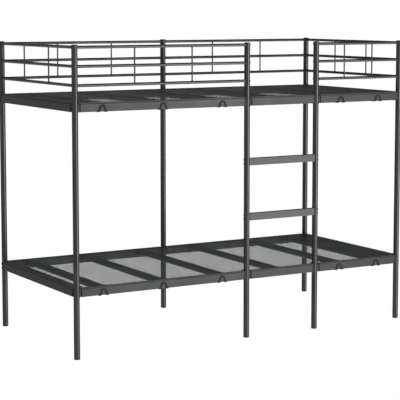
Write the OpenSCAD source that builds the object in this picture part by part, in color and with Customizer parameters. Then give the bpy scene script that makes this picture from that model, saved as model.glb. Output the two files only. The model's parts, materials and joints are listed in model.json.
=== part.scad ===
// Bunk bed of powder-coated steel tube, with a ladder built into its front side.
// Origin: the middle of the bed, on the floor. +X runs along the bed, -Y is the ladder side, +Z is up.
// All sizes are in millimetres.

/* [Overall] */
// Distance between the corner posts' axes, along the bed
frame_l = 2048; // [1950:2:2150]
// Distance between the corner posts' axes, across the bed
frame_w = 937; // [840:1:1040]
// Height of the bed, from the floor to the top of the post caps
frame_h = 1611; // [1600:1:1700]

/* [Posts] */
// Outer diameter of a post
post_d = 32; // [28:1:36]
// Wall thickness of a post
post_wall = 1.5; // [1.2:0.1:2]
// Height of the foot plug's visible collar
foot_h = 10; // [6:1:16]
// Height of the top cap's visible part
cap_h = 5; // [3:1:8]
// Rounding of the foot plug's and the top cap's edge
edge_r = 3; // [1:0.5:3]

/* [Ladder] */
// Place of the ladder's left post along the bed
ladder_x = 0; // [-100:1:100]
// Distance between the ladder posts' axes
ladder_w = 450; // [350:1:500]
// Height of the seam between the two halves of a ladder post
seam_z = 795; // [760:1:830]
// Height of the lower rung's centre
rung_low_z = 666; // [620:1:690]
// Height of the upper rung's centre
rung_high_z = 967; // [940:1:1020]
// Height of a rung's front face
rung_h = 41; // [36:1:46]
// Depth of a rung
rung_t = 22; // [16:1:26]

/* [Decks] */
// Height of the lower deck rails' centre line
lower_deck_z = 346; // [300:1:380]
// Height of the upper deck rails' centre line
upper_deck_z = 1292; // [1240:1:1310]
// Height of a deck rail
rail_h = 43; // [38:1:46]
// Depth of a deck rail
rail_t = 25; // [22:1:26]
// Distance from the post axes to a deck rail's outer face
rail_face = 14; // [12:0.5:14]
// Wall thickness of a deck rail
rail_wall = 1.5; // [1.2:0.1:2]
// Thickness of a mesh panel
mesh_t = 0.3; // [0.3:0.1:1.5]

/* [Cross bars] */
// Places of the cross bars along the bed
bar_x = [-876, -523, -162, 200, 610, 867];
// Width of a cross bar
bar_w = 46; // [36:1:50]
// Height of a cross bar
bar_h = 25; // [20:1:28]

/* [Guard rails] */
// Height of the top guard rail's centre
guard_top_z = 1598; // [1580:1:1600]
// Distance between neighbouring guard rails' centres
guard_step = 96.5; // [80:0.5:100]
// Outer diameter of a guard rail
guard_d = 16; // [14:1:20]
// Diameter of a vertical guard rod
rod_d = 8; // [6:1:10]

/* [Hidden] */
$fn = 64;

// Places of the posts
left_x = -frame_l / 2;
right_x = frame_l / 2;
front_y = -frame_w / 2;
back_y = frame_w / 2;
ladder_right_x = ladder_x + ladder_w;
post_r = post_d / 2;
bore_r = post_r - post_wall;

// Each whole post: name and place
POSTS = [
    ["front_left_post", [left_x, front_y]],
    ["back_left_post", [left_x, back_y]],
    ["back_middle_post", [0, back_y]],
    ["back_right_post", [right_x, back_y]],
    ["front_right_post", [right_x, front_y]],
];
// Each ladder post, which is in two halves: name and place
LADDER_POSTS = [
    ["ladder_left_post", [ladder_x, front_y]],
    ["ladder_right_post", [ladder_right_x, front_y]],
];
ALL_POSTS = concat(POSTS, LADDER_POSTS);

// Each run between two posts: name, first post's place, length and heading.
// Seen along its heading, a run has the outside of the bed on its right.
FRONT_LEFT = ["front_left", [left_x, front_y], ladder_x - left_x, 0];
LADDER = ["ladder", [ladder_x, front_y], ladder_w, 0];
FRONT_RIGHT = ["front_right", [ladder_right_x, front_y], right_x - ladder_right_x, 0];
BACK_RIGHT = ["back_right", [right_x, back_y], right_x, 180];
BACK_LEFT = ["back_left", [0, back_y], -left_x, 180];
LEFT_END = ["left_end", [left_x, back_y], frame_w, -90];
RIGHT_END = ["right_end", [right_x, front_y], frame_w, 90];
SIDE_RUNS = [FRONT_LEFT, FRONT_RIGHT, BACK_RIGHT, BACK_LEFT];
END_RUNS = [LEFT_END, RIGHT_END];
GUARD_RUNS = concat(SIDE_RUNS, END_RUNS);
BOLTED_RUNS = concat(SIDE_RUNS, [LADDER]);
RAIL_RUNS = concat(BOLTED_RUNS, END_RUNS);

// Each deck and each guard rail: name and height
DECKS = [["lower", lower_deck_z], ["upper", upper_deck_z]];
GUARDS = [
    ["low", guard_top_z - 2 * guard_step],
    ["middle", guard_top_z - guard_step],
    ["top", guard_top_z],
];
guard_wall = 1.2;

// Fasteners
bolt_d = 6;
bolt_clearance = 0.4;
bolt_head_d = 11;
bolt_head_h = 2.5;
deck_bolt_rise = 12;
rung_bolt_rise = 11;
guard_bolt_reach = 30;
deck_bolt_reach = 36;
rung_bolt_reach = 30;
socket_d = 4.6;
socket_depth = 1.8;
screw_d = 5;
screw_head_d = 9;
screw_l = 8;

// Where the bolts cross the posts
deck_bolt_zs = [for (deck = DECKS, side = [-1, 1]) deck[1] + side * deck_bolt_rise];
rung_bolt_zs = [for (z = [rung_low_z, rung_high_z], side = [-1, 1]) z + side * rung_bolt_rise];
guard_bolt_zs = [for (guard = GUARDS) guard[1]];
whole_post_zs = concat(deck_bolt_zs, guard_bolt_zs);
ladder_post_zs = concat(whole_post_zs, rung_bolt_zs);

// The sleeve inside each ladder post, and the two screws that hold its upper half
sleeve_l = 120;
seam_chamfer = 1;
sleeve_screw_zs = [seam_z + 13, seam_z + 40];

// Saddles: the curved end brackets between the deck rails and the posts
saddle_r = post_r + 3.3;
saddle_h = 50;
saddle_w = 22;
saddle_corner_r = 8;
waist_t = 15;
waist_h = rail_h - 2;
waist_corner_r = 2;
rail_start = 25;
neck_clearance = 0.2;
neck_wall = 3;
neck_solid_end = 38;
neck_end = 56;
rail_corner_r = 3;
rail_back = rail_t - rail_face;

// Cross bars and their end brackets
bar_wall = 1.2;
bar_corner_r = 4;
bar_rise = rail_h / 2 + 3;
bracket_t = 2;
bar_l = frame_w - 2 * (rail_back + bracket_t);
bracket_depth = 22;
cradle_wall = 3;
arch_h = 38;
arch_top_w = 38;
arch_foot_w = 58;
arch_gap_h = 27;
arch_gap_top_w = 17;
arch_gap_foot_w = 28;
arch_proud = 1.8;

// Mesh panels
border_h = 5;
border_t = 1.2;
border_side_w = 16;
border_end_w = 51;
border_inset = 2;
border_clearance = 2.5;

// Rungs
rung_wall = 1.5;
rung_corner_r = 4;
rung_block_l = 20;
bolt_end_gap = 1;

// Caps and plugs
spigot_wall = 2;
cap_spigot_l = 18;
foot_spigot_l = 25;
insert_l = 20;

// ---------- Shared shapes ----------

// Puts children in a run's own frame: +X along it from the first post, -Y out of the bed
module on_run(run)
    translate([run[1][0], run[1][1], 0])
        rotate([0, 0, run[3]])
            children();

// Puts children at both ends of a run, with +X pointing from the post into the run
module at_run_ends(run)
    on_run(run) {
        children();
        translate([run[2], 0, 0])
            mirror([1, 0, 0])
                children();
    }

// A cylinder along +X, from x0 to x1
module rod_x(d, x0, x1)
    translate([x0, 0, 0])
        rotate([0, 90, 0])
            cylinder(d = d, h = x1 - x0);

// A cylinder along +Y, from y0 to y1
module rod_y(d, y0, y1)
    translate([0, y1, 0])
        rotate([90, 0, 0])
            cylinder(d = d, h = y1 - y0);

// A rectangle with rounded corners, centred
module rounded_rect(w, h, r) {
    square([w - 2 * r, h], center = true);
    square([w, h - 2 * r], center = true);
    for (x = [-1, 1], y = [-1, 1])
        translate([x * (w / 2 - r), y * (h / 2 - r)])
            circle(r = r);
}

// A rectangular tube along +X from x0 to x1, centred on its axis, with wall 0 for a solid bar
module box_tube_x(depth, h, r, wall, x0, x1)
    translate([x0, 0, 0])
        rotate([90, 0, 90])
            linear_extrude(height = x1 - x0)
                difference() {
                    rounded_rect(depth, h, r);
                    if (wall > 0)
                        rounded_rect(depth - 2 * wall, h - 2 * wall, r - wall);
                }

// The outside of a post, for cutting what butts against it
module post_core()
    translate([0, 0, -frame_h])
        cylinder(r = post_r, h = 3 * frame_h);

// ---------- Posts ----------

// Holes for bolts along X, at the heights that lie between z0 and z1
module post_bolt_holes(zs, z0, z1)
    for (z = zs)
        if (z > z0 && z < z1)
            translate([0, 0, z])
                rod_x(bolt_d + bolt_clearance, -post_d, post_d);

module post_tube(z0, z1, zs, low_chamfer = 0, high_chamfer = 0)
    difference() {
        rotate_extrude()
            polygon([
                [bore_r, z0],
                [post_r - low_chamfer, z0],
                [post_r, z0 + low_chamfer],
                [post_r, z1 - high_chamfer],
                [post_r - high_chamfer, z1],
                [bore_r, z1],
            ]);
        post_bolt_holes(zs, z0, z1);
    }

module whole_post(post)
    color("#2b2d2e")
        translate([post[1][0], post[1][1], 0])
            post_tube(foot_h, frame_h - cap_h, whole_post_zs);

module ladder_post_lower(post)
    color("#2b2d2e")
        translate([post[1][0], post[1][1], 0])
            post_tube(foot_h, seam_z, ladder_post_zs, high_chamfer = seam_chamfer);

module ladder_post_upper(post)
    color("#2b2d2e")
        translate([post[1][0], post[1][1], 0])
            difference() {
                post_tube(seam_z, frame_h - cap_h, ladder_post_zs, low_chamfer = seam_chamfer);
                for (z = sleeve_screw_zs)
                    translate([0, 0, z])
                        rod_y(screw_head_d, -post_d, 0);
            }

module ladder_post_sleeves()
    color("silver")
        for (post = LADDER_POSTS)
            translate([post[1][0], post[1][1], 0])
                difference() {
                    translate([0, 0, seam_z - sleeve_l / 2])
                        cylinder(r = bore_r, h = sleeve_l);
                    translate([0, 0, seam_z - sleeve_l])
                        cylinder(r = bore_r - post_wall, h = 2 * sleeve_l);
                    for (z = sleeve_screw_zs)
                        translate([0, 0, z])
                            rod_y(screw_d, -post_d, 0);
                }

// A round plug: a collar as wide as the post, rounded at its closed end z = 0, and a hollow spigot above it
module tube_plug(collar_h, spigot_l)
    rotate_extrude()
        polygon(concat(
            [[0, 0]],
            [for (a = [0 : 18 : 90])
                [post_r - edge_r + edge_r * sin(a), edge_r - edge_r * cos(a)]],
            [
                [post_r, collar_h],
                [bore_r, collar_h],
                [bore_r, collar_h + spigot_l],
                [bore_r - spigot_wall, collar_h + spigot_l],
                [bore_r - spigot_wall, collar_h],
                [0, collar_h],
            ]
        ));

module post_foot_plugs()
    color("#141414")
        for (post = ALL_POSTS)
            translate([post[1][0], post[1][1], 0])
                tube_plug(foot_h, foot_spigot_l);

// The top guard rails' bolts pass through the caps' spigots
module post_top_caps()
    color("#141414")
        for (post = ALL_POSTS)
            translate([post[1][0], post[1][1], 0])
                difference() {
                    translate([0, 0, frame_h])
                        mirror([0, 0, 1])
                            tube_plug(cap_h, cap_spigot_l);
                    post_bolt_holes(guard_bolt_zs, 0, frame_h);
                }

// ---------- Guard rails ----------

// One round rail between two posts, its ends coped to fit round them
module guard_rail(run, z)
    color("#2b2d2e")
        on_run(run)
            difference() {
                translate([0, 0, z])
                    rod_x(guard_d, 0, run[2]);
                translate([0, 0, z])
                    rod_x(guard_d - 2 * guard_wall, -post_r, run[2] + post_r);
                post_core();
                translate([run[2], 0, 0])
                    post_core();
            }

// Two uprights between each pair of neighbouring guard rails, at the thirds of the run
module guard_rods(runs)
    color("#2b2d2e")
        for (run = runs, third = [1, 2], i = [0, 1])
            on_run(run)
                translate([run[2] * third / 3, 0, 0])
                    difference() {
                        translate([0, 0, GUARDS[i][1]])
                            cylinder(d = rod_d, h = guard_step);
                        for (z = guard_bolt_zs)
                            translate([0, 0, z])
                                rod_x(guard_d, -guard_d, guard_d);
                    }

module side_guard_rods()
    guard_rods(SIDE_RUNS);

module end_guard_rods()
    guard_rods(END_RUNS);

// Threaded plugs in the bolted guard rails' ends
module guard_rail_inserts()
    color("silver")
        for (run = SIDE_RUNS, z = guard_bolt_zs)
            at_run_ends(run)
                difference() {
                    translate([0, 0, z])
                        rod_x(guard_d - 2 * guard_wall, 0, post_r + insert_l);
                    translate([0, 0, z])
                        rod_x(bolt_d, -post_r, 2 * post_r + insert_l);
                    post_core();
                }

// ---------- Deck rails ----------

module deck_rail(run, z)
    color("#3a3c3d")
        on_run(run)
            translate([0, rail_t / 2 - rail_face, z])
                box_tube_x(rail_t, rail_h, rail_corner_r, rail_wall, rail_start, run[2] - rail_start);

// The neck that a deck rail slides over, solid where the bolts end in it
module saddle_neck()
    difference() {
        box_tube_x(
            rail_t - 2 * (rail_wall + neck_clearance),
            rail_h - 2 * (rail_wall + neck_clearance),
            rail_corner_r - rail_wall,
            0,
            rail_start,
            neck_end
        );
        box_tube_x(
            rail_t - 2 * (rail_wall + neck_clearance + neck_wall),
            rail_h - 2 * (rail_wall + neck_clearance + neck_wall),
            rail_corner_r - rail_wall,
            0,
            neck_solid_end,
            2 * neck_end
        );
    }

// A curved plate on the post, a narrow waist between the post and the deck rail's end, and the neck
module plain_saddle()
    difference() {
        union() {
            intersection() {
                translate([0, 0, -saddle_h])
                    cylinder(r = saddle_r, h = 2 * saddle_h);
                box_tube_x(saddle_w, saddle_h, saddle_corner_r, 0, 0, 2 * saddle_r);
            }
            translate([0, rail_t / 2 - rail_face, 0]) {
                box_tube_x(waist_t, waist_h, waist_corner_r, 0, post_r / 2, rail_start);
                saddle_neck();
            }
        }
        post_core();
    }

module bolted_saddle()
    difference() {
        plain_saddle();
        for (side = [-1, 1])
            translate([0, 0, side * deck_bolt_rise])
                rod_x(bolt_d, 0, neck_end);
    }

// The side rails' saddles are bolted through the posts, and the end rails' are welded to them
module rail_saddles(z)
    color("#1b1c1d") {
        for (run = BOLTED_RUNS)
            at_run_ends(run)
                translate([0, 0, z])
                    bolted_saddle();
        for (run = END_RUNS)
            at_run_ends(run)
                translate([0, 0, z])
                    plain_saddle();
    }

// ---------- Cross bars and their brackets ----------

module cross_bars(z)
    color("#2b2d2e")
        for (x = bar_x)
            translate([x, 0, z + bar_rise - bar_h / 2])
                rotate([0, 0, 90])
                    box_tube_x(bar_w, bar_h, bar_corner_r, bar_wall, -bar_l / 2, bar_l / 2);

// An arch that stands on y = 0, round at the top, its legs splayed. It is no lower than its top is wide.
module arch_2d(h, top_w, foot_w) {
    translate([0, h - top_w / 2])
        circle(d = top_w);
    polygon([
        [-foot_w / 2, 0],
        [foot_w / 2, 0],
        [top_w / 2, h - top_w / 2],
        [-top_w / 2, h - top_w / 2],
    ]);
}

// The open cradle that holds a bar's end, behind the rail
module bar_cradle()
    difference() {
        translate([-bar_w / 2 - cradle_wall, rail_back, bar_rise - bar_h - cradle_wall])
            cube([bar_w + 2 * cradle_wall, bracket_depth, bar_h + cradle_wall]);
        translate([0, rail_back + bracket_t, bar_rise - bar_h / 2])
            rotate([0, 0, 90])
                box_tube_x(bar_w, bar_h, bar_corner_r, 0, 0, bracket_depth);
        translate([-bar_w / 2, rail_back + bracket_t, bar_rise - bar_h / 2])
            cube([bar_w, bracket_depth, bar_h]);
    }

// The hook that goes under the rail and up its face as an arch
module rail_hook() {
    foot = (arch_foot_w - arch_gap_foot_w) / 2;
    translate([0, -rail_face, -rail_h / 2 - bracket_t])
        rotate([90, 0, 0])
            linear_extrude(height = arch_proud)
                difference() {
                    arch_2d(arch_h, arch_top_w, arch_foot_w);
                    arch_2d(arch_gap_h, arch_gap_top_w, arch_gap_foot_w);
                }
    for (x = [-arch_foot_w / 2, arch_gap_foot_w / 2])
        translate([x, 0, -rail_h / 2 - bracket_t]) {
            translate([0, -rail_face - arch_proud, 0])
                cube([foot, rail_t + arch_proud + bracket_t, bracket_t]);
            translate([0, rail_back, 0])
                cube([foot, bracket_t, rail_h / 2 + bracket_t + bar_rise - bar_h]);
        }
}

// Every bar has a hooked bracket at each end, except behind the ladder's rail, which has a plain cradle
module bar_brackets(z)
    color("#1b1c1d")
        for (x = bar_x) {
            translate([x, front_y, z]) {
                bar_cradle();
                if (x < ladder_x || x > ladder_right_x)
                    rail_hook();
            }
            translate([x, back_y, z])
                rotate([0, 0, 180]) {
                    bar_cradle();
                    rail_hook();
                }
        }

// ---------- Mesh panels ----------

// A flat frame between two rectangles, given by their half sizes
module flat_frame(inner, outer, h)
    linear_extrude(height = h)
        difference() {
            square([2 * outer[0], 2 * outer[1]], center = true);
            square([2 * inner[0], 2 * inner[1]], center = true);
        }

// The panel lies on the cross bars. Its border, a channel folded from sheet, lies on the deck rails.
module deck_mesh(z) {
    border_w = [border_end_w, border_side_w];
    fold = [border_t, border_t];
    outside = [right_x, back_y] + [1, 1] * (rail_face - border_inset);
    inside = outside - border_w;
    color("#55585a")
        difference() {
            union() {
                translate([-inside[0], -inside[1], z + bar_rise])
                    cube([2 * inside[0], 2 * inside[1], mesh_t]);
                translate([0, 0, z + rail_h / 2])
                    difference() {
                        flat_frame(inside, outside, border_h);
                        translate([0, 0, -border_t])
                            flat_frame(inside + fold, outside - fold, border_h);
                    }
            }
            for (post = ALL_POSTS)
                translate([post[1][0], post[1][1], z])
                    cylinder(r = saddle_r + border_clearance, h = saddle_h);
        }
}

// ---------- Rungs ----------

module ladder_rung(z)
    color("#77797a")
        on_run(LADDER)
            translate([0, 0, z])
                difference() {
                    union() {
                        box_tube_x(rung_t, rung_h, rung_corner_r, rung_wall, 0, ladder_w);
                        for (x0 = [0, ladder_w - post_r - rung_block_l])
                            box_tube_x(
                                rung_t - rung_wall,
                                rung_h - rung_wall,
                                rung_corner_r - rung_wall,
                                0,
                                x0,
                                x0 + post_r + rung_block_l
                            );
                    }
                    for (side = [-1, 1])
                        translate([0, 0, side * rung_bolt_rise]) {
                            rod_x(bolt_d, -post_r, rung_bolt_reach + bolt_end_gap);
                            rod_x(bolt_d, ladder_w - rung_bolt_reach - bolt_end_gap, ladder_w + post_r);
                        }
                    post_core();
                    translate([ladder_w, 0, 0])
                        post_core();
                }

// ---------- Fasteners ----------

// A bolt along +X through a post, with its low socket head against the post's far side
module cross_bolt(reach) {
    rod_x(bolt_d, -post_r, reach);
    difference() {
        rod_x(bolt_head_d, -post_r - bolt_head_h, -post_r / 2);
        post_core();
        rod_x(socket_d, -2 * post_r, -post_r - bolt_head_h + socket_depth, $fn = 6);
    }
}

// A headless stud through a post that has a rail on both sides
module cross_stud(reach)
    rod_x(bolt_d, -reach, reach);

// Children at a post, at each of the heights
module at_post(x, y, zs)
    for (z = zs)
        translate([x, y, z])
            children();

module guard_rail_bolts()
    color("#101010") {
        for (y = [front_y, back_y]) {
            at_post(left_x, y, guard_bolt_zs)
                cross_bolt(guard_bolt_reach);
            at_post(right_x, y, guard_bolt_zs)
                mirror([1, 0, 0])
                    cross_bolt(guard_bolt_reach);
        }
        at_post(ladder_x, front_y, guard_bolt_zs)
            mirror([1, 0, 0])
                cross_bolt(guard_bolt_reach);
        at_post(ladder_right_x, front_y, guard_bolt_zs)
            cross_bolt(guard_bolt_reach);
        at_post(0, back_y, guard_bolt_zs)
            cross_stud(guard_bolt_reach);
    }

module deck_and_rung_bolts()
    color("#101010") {
        for (y = [front_y, back_y]) {
            at_post(left_x, y, deck_bolt_zs)
                cross_bolt(deck_bolt_reach);
            at_post(right_x, y, deck_bolt_zs)
                mirror([1, 0, 0])
                    cross_bolt(deck_bolt_reach);
        }
        for (x = [ladder_x, ladder_right_x])
            at_post(x, front_y, deck_bolt_zs)
                cross_stud(deck_bolt_reach);
        at_post(0, back_y, deck_bolt_zs)
            cross_stud(deck_bolt_reach);
        at_post(ladder_x, front_y, rung_bolt_zs)
            cross_bolt(rung_bolt_reach);
        at_post(ladder_right_x, front_y, rung_bolt_zs)
            mirror([1, 0, 0])
                cross_bolt(rung_bolt_reach);
    }

// Two screws above each ladder post's seam, sunk into the post and threaded into its sleeve
module ladder_seam_screws()
    color("#101010")
        for (post = LADDER_POSTS)
            at_post(post[1][0], post[1][1], sleeve_screw_zs) {
                rod_y(screw_head_d, -post_r, -bore_r);
                rod_y(screw_d, -bore_r, -bore_r + screw_l);
            }

// ---------- Nodes ----------

for (post = POSTS)
    whole_post(post);
for (post = LADDER_POSTS) {
    ladder_post_lower(post);
    ladder_post_upper(post);
}
ladder_post_sleeves();
post_top_caps();
post_foot_plugs();
for (run = GUARD_RUNS, guard = GUARDS)
    guard_rail(run, guard[1]);
side_guard_rods();
end_guard_rods();
guard_rail_inserts();
for (deck = DECKS, run = RAIL_RUNS)
    deck_rail(run, deck[1]);
for (deck = DECKS) {
    rail_saddles(deck[1]);
    cross_bars(deck[1]);
    bar_brackets(deck[1]);
    deck_mesh(deck[1]);
}
ladder_rung(rung_low_z);  // ladder_rung_lower
ladder_rung(rung_high_z);  // ladder_rung_upper
guard_rail_bolts();
deck_and_rung_bolts();
ladder_seam_screws();
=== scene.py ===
"""Looks for the bunk bed with ladder: paint, mesh decks, light and camera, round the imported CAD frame.

Everything is in metres, in the CAD's own frame: +X along the bed, -Y the ladder side, +Z up.
"""

import json
import math

import bmesh
import bpy
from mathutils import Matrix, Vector


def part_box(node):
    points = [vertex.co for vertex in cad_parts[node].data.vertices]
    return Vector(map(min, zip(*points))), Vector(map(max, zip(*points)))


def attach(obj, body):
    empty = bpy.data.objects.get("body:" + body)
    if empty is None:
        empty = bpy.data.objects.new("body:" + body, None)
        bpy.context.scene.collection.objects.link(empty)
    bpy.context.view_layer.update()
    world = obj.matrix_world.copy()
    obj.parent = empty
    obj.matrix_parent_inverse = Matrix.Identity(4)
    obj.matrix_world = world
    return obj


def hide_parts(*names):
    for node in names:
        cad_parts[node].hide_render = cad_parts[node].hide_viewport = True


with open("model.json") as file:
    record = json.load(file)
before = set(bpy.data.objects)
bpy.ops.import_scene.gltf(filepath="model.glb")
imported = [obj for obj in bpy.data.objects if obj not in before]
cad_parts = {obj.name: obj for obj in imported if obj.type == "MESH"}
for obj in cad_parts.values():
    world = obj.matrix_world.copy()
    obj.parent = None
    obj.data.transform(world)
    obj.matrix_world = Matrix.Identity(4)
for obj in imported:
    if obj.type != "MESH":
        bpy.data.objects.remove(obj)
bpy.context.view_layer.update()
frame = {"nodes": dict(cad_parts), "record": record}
NODES = frame["nodes"]
MM = 0.001

# The scales of the paint's noise patterns, in repeats per metre
GRAIN_SCALE = 900.0
PATCH_SCALE = 7.0
WEAR_SCALE = 60.0

# The paint's uneven tone, as factors on its colour
DARK_PATCH = 0.86
LIGHT_PATCH = 1.14

# The paint's edge wear: its width, how far the rounded normal turns where it starts and where it is
# full (as the cosine), and its colour as a factor and a lift
WORN_EDGE = 1.2 * MM
WEAR_START = 0.98
WEAR_FULL = 0.85
WORN_GAIN = 1.9
WORN_LIFT = 0.01

# The paint's pebbled surface
BUMP_STRENGTH = 0.25
BUMP_HEIGHT = 0.15 * MM

# The Mix node's colour sockets
MIX_A, MIX_B, MIX_OUT = 6, 7, 2


# ---------- Materials ----------


class Paint:
    """A material's node tree, with short ways to add nodes and links."""

    def __init__(self, name):
        self.material = bpy.data.materials.new(name)
        self.material.use_nodes = True
        self.tree = self.material.node_tree
        self.shader = self.tree.nodes["Principled BSDF"]
        self.place = self.tree.nodes.new("ShaderNodeTexCoord").outputs["Object"]

    def node(self, kind, **settings):
        made = self.tree.nodes.new(kind)
        for key, value in settings.items():
            setattr(made, key, value)
        return made

    def link(self, out, into):
        self.tree.links.new(out, into)

    def noise(self, scale, detail=2.0, roughness=0.5):
        made = self.node("ShaderNodeTexNoise")
        made.inputs["Scale"].default_value = scale
        made.inputs["Detail"].default_value = detail
        made.inputs["Roughness"].default_value = roughness
        self.link(self.place, made.inputs["Vector"])
        return made.outputs["Fac"]

    def remap(self, value, low, high, to_low, to_high):
        made = self.node("ShaderNodeMapRange", clamp=True)
        for socket, number in zip(
            ("From Min", "From Max", "To Min", "To Max"), (low, high, to_low, to_high)
        ):
            made.inputs[socket].default_value = number
        self.link(value, made.inputs["Value"])
        return made.outputs["Result"]

    def math(self, operation, a, b):
        made = self.node("ShaderNodeMath", operation=operation, use_clamp=True)
        for socket, value in zip(made.inputs, (a, b)):
            if isinstance(value, (int, float)):
                socket.default_value = value
            else:
                self.link(value, socket)
        return made.outputs["Value"]

    def mix(self, factor, a, b):
        """Colour a where factor is 0 and b where it is 1; a and b are colours or outputs."""
        made = self.node("ShaderNodeMix", data_type="RGBA")
        self.link(factor, made.inputs["Factor"])
        for socket, value in zip((made.inputs[MIX_A], made.inputs[MIX_B]), (a, b)):
            if isinstance(value, tuple):
                socket.default_value = (*value, 1.0)
            else:
                self.link(value, socket)
        return made.outputs[MIX_OUT]

    def edges(self, radius):
        """1 on sharp outer edges and 0 elsewhere."""
        bevel = self.node("ShaderNodeBevel", samples=4)
        bevel.inputs["Radius"].default_value = radius
        flat = self.node("ShaderNodeNewGeometry")
        dot = self.node("ShaderNodeVectorMath", operation="DOT_PRODUCT")
        self.link(bevel.outputs["Normal"], dot.inputs[0])
        self.link(flat.outputs["Normal"], dot.inputs[1])
        return self.remap(dot.outputs["Value"], WEAR_START, WEAR_FULL, 0.0, 1.0)

    def bump(self, height, strength, distance):
        made = self.node("ShaderNodeBump")
        made.inputs["Strength"].default_value = strength
        made.inputs["Distance"].default_value = distance
        self.link(height, made.inputs["Height"])
        self.link(made.outputs["Normal"], self.shader.inputs["Normal"])


def powder_coat(name, colour, roughness=0.45, specular=0.5, metallic=0.0, sheen=(1.0, 1.0, 1.0)):
    """Fine-grained powder coat: pebbled at 1 mm, a little uneven in gloss, and worn lighter on edges."""
    paint = Paint(name)
    grain = paint.noise(GRAIN_SCALE, 3.0, 0.6)
    patches = paint.noise(PATCH_SCALE, 3.0)
    dark = tuple(c * DARK_PATCH for c in colour)
    light = tuple(c * LIGHT_PATCH for c in colour)
    worn = tuple(min(1.0, c * WORN_GAIN + WORN_LIFT) for c in colour)
    body = paint.mix(paint.remap(patches, 0.35, 0.65, 0.0, 1.0), dark, light)
    flakes = paint.remap(paint.noise(WEAR_SCALE), 0.45, 0.7, 0.0, 0.7)
    wear = paint.math("MULTIPLY", paint.edges(WORN_EDGE), flakes)
    paint.link(paint.mix(wear, body, worn), paint.shader.inputs["Base Color"])
    gloss = paint.remap(patches, 0.3, 0.7, roughness - 0.05, roughness + 0.05)
    paint.link(gloss, paint.shader.inputs["Roughness"])
    paint.shader.inputs["Specular IOR Level"].default_value = specular
    paint.shader.inputs["Specular Tint"].default_value = (*sheen, 1.0)
    paint.shader.inputs["Metallic"].default_value = metallic
    paint.bump(grain, BUMP_STRENGTH, BUMP_HEIGHT)
    return paint.material


MATERIALS = {
    "frame_paint": powder_coat("frame_paint", (0.026, 0.026, 0.026), roughness=0.34, specular=0.64),
    "rail_paint": powder_coat("rail_paint", (0.028, 0.031, 0.031), roughness=0.42, specular=0.32),
    "rung_paint": powder_coat("rung_paint", (0.088, 0.088, 0.088), roughness=0.5, specular=0.4),
    "mesh_paint": powder_coat(
        "mesh_paint", (0.042, 0.060, 0.068), roughness=0.5, specular=0.5, sheen=(0.85, 0.98, 1.0)
    ),
    "bracket_paint": powder_coat("bracket_paint", (0.014, 0.014, 0.014), roughness=0.55, specular=0.2),
    "black_plastic": powder_coat("black_plastic", (0.012, 0.012, 0.012), roughness=0.5),
    "black_fastener": powder_coat("black_fastener", (0.008, 0.008, 0.008), roughness=0.4),
    "zinc_steel": powder_coat("zinc_steel", (0.55, 0.55, 0.56), roughness=0.35, metallic=1.0),
}
SADDLE_PAINT = powder_coat("saddle_paint", (0.022, 0.022, 0.022), roughness=0.5, specular=0.35)
HEM_PAINT = powder_coat("hem_paint", (0.022, 0.024, 0.026), roughness=0.5, specular=0.45)

for part in frame["record"]["subparts"]:
    mesh = NODES[part["node"]].data
    mesh.materials.clear()
    saddle = part["node"].endswith("_rail_saddles")
    mesh.materials.append(SADDLE_PAINT if saddle else MATERIALS[part["material_slot"]])


# ---------- Mesh decks ----------

POSTS = [name for name in NODES if name.endswith("_post") or name.endswith("_post_lower")]
NOTCH_GAP = 5.8 * MM
HEM_SIDE = 16 * MM
HEM_END = 51 * MM
HEM_ROUND_POST = 6 * MM
STRAND_PITCH = 4 * MM
STRAND_W = 1.55 * MM
STRAND_T = 0.08 * MM
ARC_STEPS = 12


def post_axes():
    """Each post's place in plan, and the posts' radius."""
    boxes = [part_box(name) for name in POSTS]
    radius = (boxes[0][1].x - boxes[0][0].x) / 2
    return [((lo + hi) / 2).to_2d() for lo, hi in boxes], radius


def cut_by_circles(start, end, across, centres, radius):
    """What is left of the stretch from start to end, at the distance across, outside the circles.
    A centre is (along, across)."""
    parts = [(start, end)]
    for along, off in centres:
        reach = radius**2 - (off - across) ** 2
        if reach <= 0:
            continue
        low, high = along - math.sqrt(reach), along + math.sqrt(reach)
        cut = []
        for a, b in parts:
            if a < min(b, low):
                cut.append((a, min(b, low)))
            if max(a, high) < b:
                cut.append((max(a, high), b))
        parts = cut
    return parts


def add_box(mesh, low, high):
    """A box between two opposite corners."""
    made = bmesh.ops.create_cube(mesh, size=1.0)
    size = [b - a for a, b in zip(low, high)]
    middle = [(b + a) / 2 for a, b in zip(low, high)]
    bmesh.ops.scale(mesh, vec=size, verts=made["verts"])
    bmesh.ops.translate(mesh, vec=middle, verts=made["verts"])


def strands(low, high, z, centres, radius):
    """A grid of flat strands, those along Y lying on those along X."""
    mesh = bmesh.new()
    for along, across in ((0, 1), (1, 0)):
        span = high[across] - low[across]
        count = round(span / STRAND_PITCH)
        turned = [(c[along], c[across]) for c in centres]
        for i in range(1, count):
            middle = low[across] + span * i / count
            for a, b in cut_by_circles(low[along], high[along], middle, turned, radius):
                corner_low, corner_high = [0, 0, z + along * STRAND_T], [0, 0, z + (along + 1) * STRAND_T]
                corner_low[along], corner_high[along] = a, b
                corner_low[across], corner_high[across] = middle - STRAND_W / 2, middle + STRAND_W / 2
                add_box(mesh, corner_low, corner_high)
    return mesh


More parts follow.
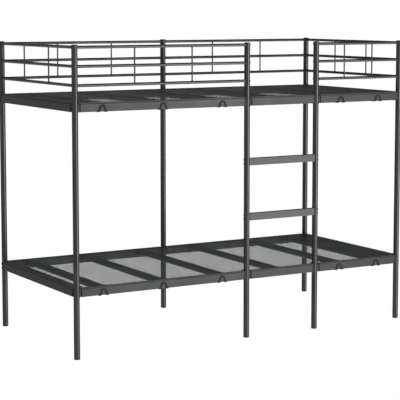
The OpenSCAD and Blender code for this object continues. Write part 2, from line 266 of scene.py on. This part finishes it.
def notched_outline(half_x, half_y, centres, radius):
    """A rectangle with round notches at the centres near its sides and corners, anticlockwise."""
    signs = ((-1, -1), (1, -1), (1, 1), (-1, 1))
    corners = [Vector((x * half_x, y * half_y)) for x, y in signs]
    points = []
    for start, end in zip(corners, corners[1:] + corners[:1]):
        along = (end - start).normalized()
        inward = along.orthogonal()
        length = (end - start).length
        if all((c - start).length > radius for c in centres):
            points.append(start)
        for c in sorted(centres, key=lambda c: (c - start).dot(along)):
            t, depth = (c - start).dot(along), (c - start).dot(inward)
            if abs(depth) >= radius:
                continue
            reach = math.sqrt(radius**2 - depth**2)
            if t + reach <= 0 or t + reach >= length:
                continue
            a1 = -math.asin(depth / radius)
            a0 = math.pi - a1 if t > reach else math.atan2(math.sqrt(radius**2 - t**2), -t)
            for i in range(ARC_STEPS + 1):
                a = a0 + (a1 - a0) * i / ARC_STEPS
                points.append(c + radius * (along * math.cos(a) + inward * math.sin(a)))
    return points


def plate(outlines, z0, z1):
    """A flat plate between two heights. The first outline is its edge and the others are holes."""
    mesh = bmesh.new()
    for outline in outlines:
        verts = [mesh.verts.new((*p, z0)) for p in outline]
        for a, b in zip(verts, verts[1:] + verts[:1]):
            mesh.edges.new((a, b))
    bmesh.ops.triangle_fill(mesh, edges=mesh.edges[:], use_beauty=True)
    made = bmesh.ops.extrude_face_region(mesh, geom=mesh.faces[:])
    raised = [v for v in made["geom"] if isinstance(v, bmesh.types.BMVert)]
    bmesh.ops.translate(mesh, vec=(0, 0, z1 - z0), verts=raised)
    bmesh.ops.recalc_face_normals(mesh, faces=mesh.faces[:])
    return mesh


def piece(name, mesh, slot, material=None):
    """A new piece of the bed, which takes the slot's own material unless another is given."""
    data = bpy.data.meshes.new(name)
    mesh.to_mesh(data)
    mesh.free()
    made = bpy.data.objects.new(name, data)
    bpy.context.scene.collection.objects.link(made)
    data.materials.append(material or MATERIALS[slot])
    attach(made, "root")
    return made


def deck(level):
    """The mesh panel and its hem, which take the place of a deck's closed plate."""
    node = f"{level}_deck_mesh"
    low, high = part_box(node)
    centres, post_r = post_axes()
    notch = post_r + NOTCH_GAP
    bars_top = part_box(f"{level}_cross_bars")[1].z
    in_low = (low.x + HEM_END, low.y + HEM_SIDE)
    in_high = (high.x - HEM_END, high.y - HEM_SIDE)
    grid = strands(in_low, in_high, bars_top, centres, notch + HEM_ROUND_POST / 2)
    outer = notched_outline(high.x, high.y, centres, notch)
    inner = notched_outline(high.x - HEM_END, high.y - HEM_SIDE, centres, notch + HEM_ROUND_POST)
    hem = plate([outer, inner], low.z, high.z)
    for made in (
        piece(f"{level}_mesh_panel", grid, "mesh_paint"),
        piece(f"{level}_mesh_hem", hem, "mesh_paint", HEM_PAINT),
    ):
        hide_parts(node)


for level in ("lower", "upper"):
    deck(level)


# ---------- Weld beads ----------

BEAD_R = 1.1 * MM
BEAD_RIPPLE = 0.18
RIPPLES = 22
BEAD_STEPS = 44
BEAD_SIDES = 8


def coped_joint(place, along, axis, tube_r, post_r):
    """The closed curve where a tube's outside meets a round post's, as points and outward directions.
    The tube starts at the point place on the post's axis, and runs along; axis is the post's direction."""
    place, along, axis = Vector(place), Vector(along), Vector(axis)
    across = axis.cross(along)
    curve = []
    for i in range(BEAD_STEPS):
        angle = 2 * math.pi * i / BEAD_STEPS
        side, rise = tube_r * math.cos(angle), tube_r * math.sin(angle)
        out = math.sqrt(post_r**2 - side**2)
        outward = across * math.cos(angle) + axis * math.sin(angle)
        curve.append((place + across * side + axis * rise + along * out, outward))
    return curve


def add_bead(mesh, curve):
    """A rippled round bead along a closed curve, half sunk into both of the parts that it joins."""
    rings = []
    for i, (point, outward) in enumerate(curve):
        ahead, behind = curve[(i + 1) % len(curve)][0], curve[i - 1][0]
        tangent = (ahead - behind).normalized()
        up = tangent.cross(outward).normalized()
        radius = BEAD_R * (1 + BEAD_RIPPLE * math.sin(2 * math.pi * RIPPLES * i / len(curve)))
        ring = []
        for j in range(BEAD_SIDES):
            turn = 2 * math.pi * j / BEAD_SIDES
            ring.append(mesh.verts.new(point + radius * (outward * math.cos(turn) + up * math.sin(turn))))
        rings.append(ring)
    for ring, following in zip(rings, rings[1:] + rings[:1]):
        for j in range(BEAD_SIDES):
            k = (j + 1) % BEAD_SIDES
            mesh.faces.new((ring[j], ring[k], following[k], following[j]))
    bmesh.ops.recalc_face_normals(mesh, faces=mesh.faces[:])


def tube_box(name):
    """A straight tube's middle, and its half sizes."""
    low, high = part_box(name)
    return (low + high) / 2, (high - low) / 2


def guard_rail_welds():
    """Beads round both ends of the end guard rails, which are welded to the corner posts."""
    mesh = bmesh.new()
    centres, post_r = post_axes()
    for name in NODES:
        if "_end_guard_rail_" not in name:
            continue
        middle, half = tube_box(name)
        for post in centres:
            if abs(post.x - middle.x) < post_r:
                along = (0, -math.copysign(1, post.y), 0)
                place = (post.x, post.y, middle.z)
                add_bead(mesh, coped_joint(place, along, (0, 0, 1), half.x, post_r))
    piece("end_guard_rail_welds", mesh, "frame_paint")


def solids(name):
    """The boxes of a node's separate solids, as (lowest, highest) corners."""
    mesh = bmesh.new()
    mesh.from_mesh(NODES[name].data)
    bmesh.ops.remove_doubles(mesh, verts=mesh.verts[:], dist=0.01 * MM)
    todo, boxes = set(mesh.verts), []
    while todo:
        reached, front = set(), [todo.pop()]
        while front:
            vert = front.pop()
            reached.add(vert)
            for edge in vert.link_edges:
                other = edge.other_vert(vert)
                if other in todo:
                    todo.remove(other)
                    front.append(other)
        xs, ys, zs = zip(*(v.co for v in reached))
        boxes.append((Vector((min(xs), min(ys), min(zs))), Vector((max(xs), max(ys), max(zs)))))
    mesh.free()
    return boxes


def guard_rod_welds(node, along_bed):
    """Beads round both ends of each upright rod, which is welded between two guard rails."""
    mesh = bmesh.new()
    rail_half = tube_box("front_left_guard_rail_top")[1]
    for low, high in solids(node):
        middle = (low + high) / 2
        rod_r = (high.x - low.x) / 2
        axis = (1, 0, 0) if along_bed else (0, 1, 0)
        sunk = rail_half.z - math.sqrt(rail_half.z**2 - rod_r**2)
        for z, up in ((low.z + sunk - rail_half.z, 1), (high.z - sunk + rail_half.z, -1)):
            place = (middle.x, middle.y, z)
            add_bead(mesh, coped_joint(place, (0, 0, up), axis, rod_r, rail_half.z))
    piece(f"{node}_welds", mesh, "frame_paint")


guard_rail_welds()
guard_rod_welds("side_guard_rods", True)
guard_rod_welds("end_guard_rods", False)


# ---------- Light, floor and camera ----------

ROOM_R = 40.0
ROOM_DROP = 1 * MM

# The camera's tilt down from level, and its turn from +Y, in degrees
CAMERA_DIP = 6.16
CAMERA_TURN = -30.34

# How bright the studio is in each direction, by the sine of the elevation
STUDIO_GLOW = [
    (-1.0, 2.8),
    (-0.75, 2.4),
    (-0.5, 0.9),
    (-0.25, 0.24),
    (-0.05, 0.21),
    (0.04, 0.80),
    (0.1, 0.45),
    (0.2, 0.28),
    (0.4, 0.12),
    (1.0, 0.10),
]


def studio_light():
    """Soft light from all round, strongest from the pale floor and weakest from overhead."""
    world = bpy.data.worlds.new("studio")
    bpy.context.scene.world = world
    world.use_nodes = True
    tree = world.node_tree
    direction = tree.nodes.new("ShaderNodeTexCoord").outputs["Generated"]
    split = tree.nodes.new("ShaderNodeSeparateXYZ")
    tree.links.new(direction, split.inputs["Vector"])
    ramp = tree.nodes.new("ShaderNodeValToRGB")
    scaled = tree.nodes.new("ShaderNodeMapRange")
    scaled.inputs["From Min"].default_value = -1.0
    tree.links.new(split.outputs["Z"], scaled.inputs["Value"])
    tree.links.new(scaled.outputs["Result"], ramp.inputs["Fac"])
    stops = ramp.color_ramp.elements
    while len(stops) < len(STUDIO_GLOW):
        stops.new(0.5)
    for stop, (sine, glow) in zip(stops, STUDIO_GLOW):
        stop.position = (sine + 1) / 2
        stop.color = (glow, glow, glow, 1.0)
    tree.links.new(ramp.outputs["Color"], tree.nodes["Background"].inputs["Color"])


def softbox(name, place, aim, size, watts):
    """A rectangular lamp that faces the point aim."""
    data = bpy.data.lights.new(name, "AREA")
    data.shape, data.size, data.size_y = "RECTANGLE", *size
    data.energy = watts
    made = bpy.data.objects.new(name, data)
    made.location = place
    made.rotation_euler = (Vector(aim) - Vector(place)).to_track_quat("-Z", "Y").to_euler()
    bpy.context.scene.collection.objects.link(made)


def backdrop_paper():
    """Pure white, whatever light falls on it."""
    material = bpy.data.materials.new("backdrop_paper")
    material.use_nodes = True
    tree = material.node_tree
    tree.nodes.clear()
    glow = tree.nodes.new("ShaderNodeEmission")
    tree.links.new(glow.outputs["Emission"], tree.nodes.new("ShaderNodeOutputMaterial").inputs["Surface"])
    return material


def studio_room():
    """A white floor and a white dome, which the camera sees and which take no part in the lighting."""
    paper = backdrop_paper()
    for name, build in (
        ("studio_floor", lambda m: bmesh.ops.create_circle(m, cap_ends=True, radius=ROOM_R, segments=64)),
        ("studio_dome", lambda m: bmesh.ops.create_icosphere(m, subdivisions=3, radius=ROOM_R)),
    ):
        mesh = bmesh.new()
        build(mesh)
        data = bpy.data.meshes.new(name)
        mesh.to_mesh(data)
        mesh.free()
        data.materials.append(paper)
        made = bpy.data.objects.new(name, data)
        made.location.z = -ROOM_DROP
        bpy.context.scene.collection.objects.link(made)
        for ray in ("diffuse", "glossy", "transmission", "volume_scatter", "shadow"):
            setattr(made, f"visible_{ray}", False)


studio_light()
studio_room()
softbox("key", place=(4.2, -8.3, 0.5), aim=(0.0, 0.0, 0.8), size=(1.8, 4.0), watts=430)

camera = bpy.data.objects.new("camera", bpy.data.cameras.new("camera"))
bpy.context.scene.collection.objects.link(camera)
bpy.context.scene.camera = camera
camera.location = (-4.224, -7.184, 1.789)
camera.rotation_euler = (math.radians(90 - CAMERA_DIP), 0.0, math.radians(CAMERA_TURN))
camera.data.lens = 132.6
camera.data.sensor_width = 36.0
camera.data.shift_y = -0.08
camera.data.clip_end = 100.0

bpy.context.scene.view_settings.view_transform = "Standard"
